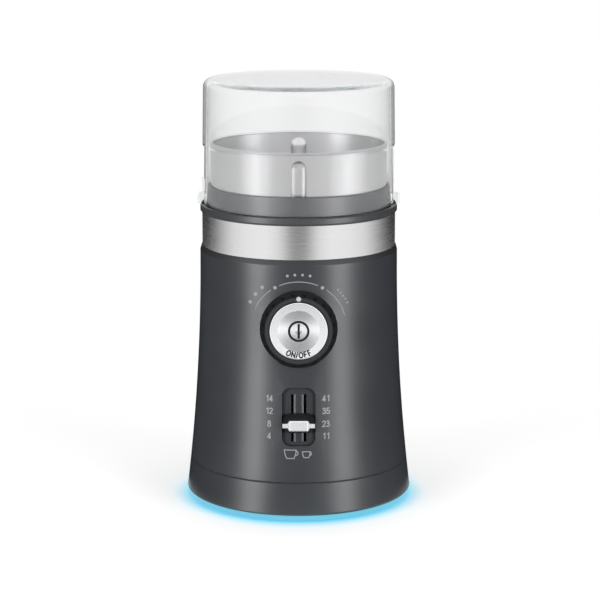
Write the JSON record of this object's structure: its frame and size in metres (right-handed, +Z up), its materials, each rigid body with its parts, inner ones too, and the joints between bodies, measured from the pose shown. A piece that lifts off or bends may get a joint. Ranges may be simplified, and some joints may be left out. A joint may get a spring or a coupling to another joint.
{
  "type": "blade coffee grinder",
  "caption": "Upright coffee grinder: clear lift-off lid over a lift-out steel bowl with a spinning blade, front dial with push button, slider and a lit ring under the flared base.",
  "frame": {"origin": "on the machine's upright axis, at table height under the feet", "axes": "+Z up along the motor axis; -Y is the front with the dial; +X is the user's right"},
  "size_m": [0.1252, 0.1252, 0.2334],
  "materials": {
    "charcoal_plastic": "satin moulded",
    "black_plastic": "satin moulded",
    "brushed_steel": "brushed",
    "polished_steel": "polished",
    "satin_silver": "satin",
    "clear_plastic": "clear",
    "light_diffuser": "frosted",
    "lamp": "clear",
    "rubber": "matt",
    "white_plastic": "satin",
    "ivory_nylon": "matt",
    "circuit_green": "lacquered",
    "copper_wire": "enamelled",
    "brass": "plain",
    "lamination_steel": "matt",
    "carbon": "matt"
  },
  "bodies": {
    "housing": {"main_housing": "charcoal_plastic", "base_ring": "charcoal_plastic", "bottom_plate": "black_plastic", "light_ring": "light_diffuser", "led_board": "circuit_green", "leds": "lamp", "rubber_feet": "rubber", "base_screws": "polished_steel", "cord_gland": "rubber", "terminal_block": "ivory_nylon", "top_collar": "black_plastic", "steel_band": "brushed_steel", "collar_screws": "polished_steel", "interlock_switch": "black_plastic", "motor_upper_bracket": "satin_silver", "motor_lower_bracket": "ivory_nylon", "stator_core": "lamination_steel", "field_coils": "copper_wire", "motor_bolts": "polished_steel", "upper_bearing": "polished_steel", "lower_bearing": "polished_steel", "brush_holders": "brass", "carbon_brushes": "carbon", "brush_springs": "polished_steel", "motor_mounts": "rubber", "motor_screws": "polished_steel", "grind_selector": "brass", "button_guide": "ivory_nylon", "button_spring": "polished_steel", "power_switch": "black_plastic", "control_board": "circuit_green", "board_screws": "polished_steel", "slider_track": "black_plastic", "slide_potentiometer": "black_plastic"},
    "rotor": {"motor_shaft": "polished_steel", "armature_core": "lamination_steel", "armature_winding": "copper_wire", "commutator": "copper_wire", "cooling_fan": "ivory_nylon", "drive_coupler": "ivory_nylon"},
    "bowl": {"grinding_bowl": "brushed_steel", "bowl_base": "black_plastic", "spindle_bush": "brass", "spindle_seal": "rubber"},
    "blade": {"blade_spindle": "polished_steel", "grinding_blade": "polished_steel", "blade_nut": "polished_steel", "driven_coupler": "ivory_nylon"},
    "lid": {"lid": "clear_plastic"},
    "dial": {"grind_dial": "black_plastic", "dial_pointer": "white_plastic", "dial_wiper": "ivory_nylon"},
    "button": {"power_button": "brushed_steel", "button_stem": "black_plastic"},
    "slider": {"slider_carriage": "black_plastic", "slider_handle": "satin_silver", "slider_bridge": "ivory_nylon"},
    "plunger": {"interlock_plunger": "ivory_nylon"}
  },
  "joints": [
    {"name": "rotor_spin", "type": "hinge", "parent": "housing", "child": "rotor", "pos_m": [0, 0, 0.061], "axis": [0, 0, 1], "continuous": true},
    {"name": "bowl_lift", "type": "slide", "parent": "housing", "child": "bowl", "axis": [0, 0, 1], "range_m": [0, 0.08]},
    {"name": "lid_lift", "type": "slide", "parent": "bowl", "child": "lid", "axis": [0, 0, 1], "range_m": [0, 0.05]},
    {"name": "blade_spin", "type": "hinge", "parent": "bowl", "child": "blade", "pos_m": [0, 0, 0.145], "axis": [0, 0, 1], "continuous": true},
    {"name": "dial_turn", "type": "hinge", "parent": "housing", "child": "dial", "pos_m": [0, -0.05491, 0.1057], "axis": [0, 1, 0], "range_deg": [-60, 60]},
    {"name": "button_press", "type": "slide", "parent": "housing", "child": "button", "axis": [0, 1, 0], "range_m": [0, 0.0016], "stiffness_N_per_m": 800, "springref_m": -0.002, "deforming": ["button_spring"]},
    {"name": "slider_move", "type": "slide", "parent": "housing", "child": "slider", "axis": [0, 0.0737, 0.9973], "range_m": [-0.0068, 0.0136]},
    {"name": "plunger_press", "type": "slide", "parent": "housing", "child": "plunger", "axis": [0, 0, 1], "range_m": [-0.001, 0], "stiffness_N_per_m": 200, "springref_m": 0.002}
  ],
  "couplings": [
    {"joint": "blade_spin", "follows": "rotor_spin", "ratio": 1}
  ]
}
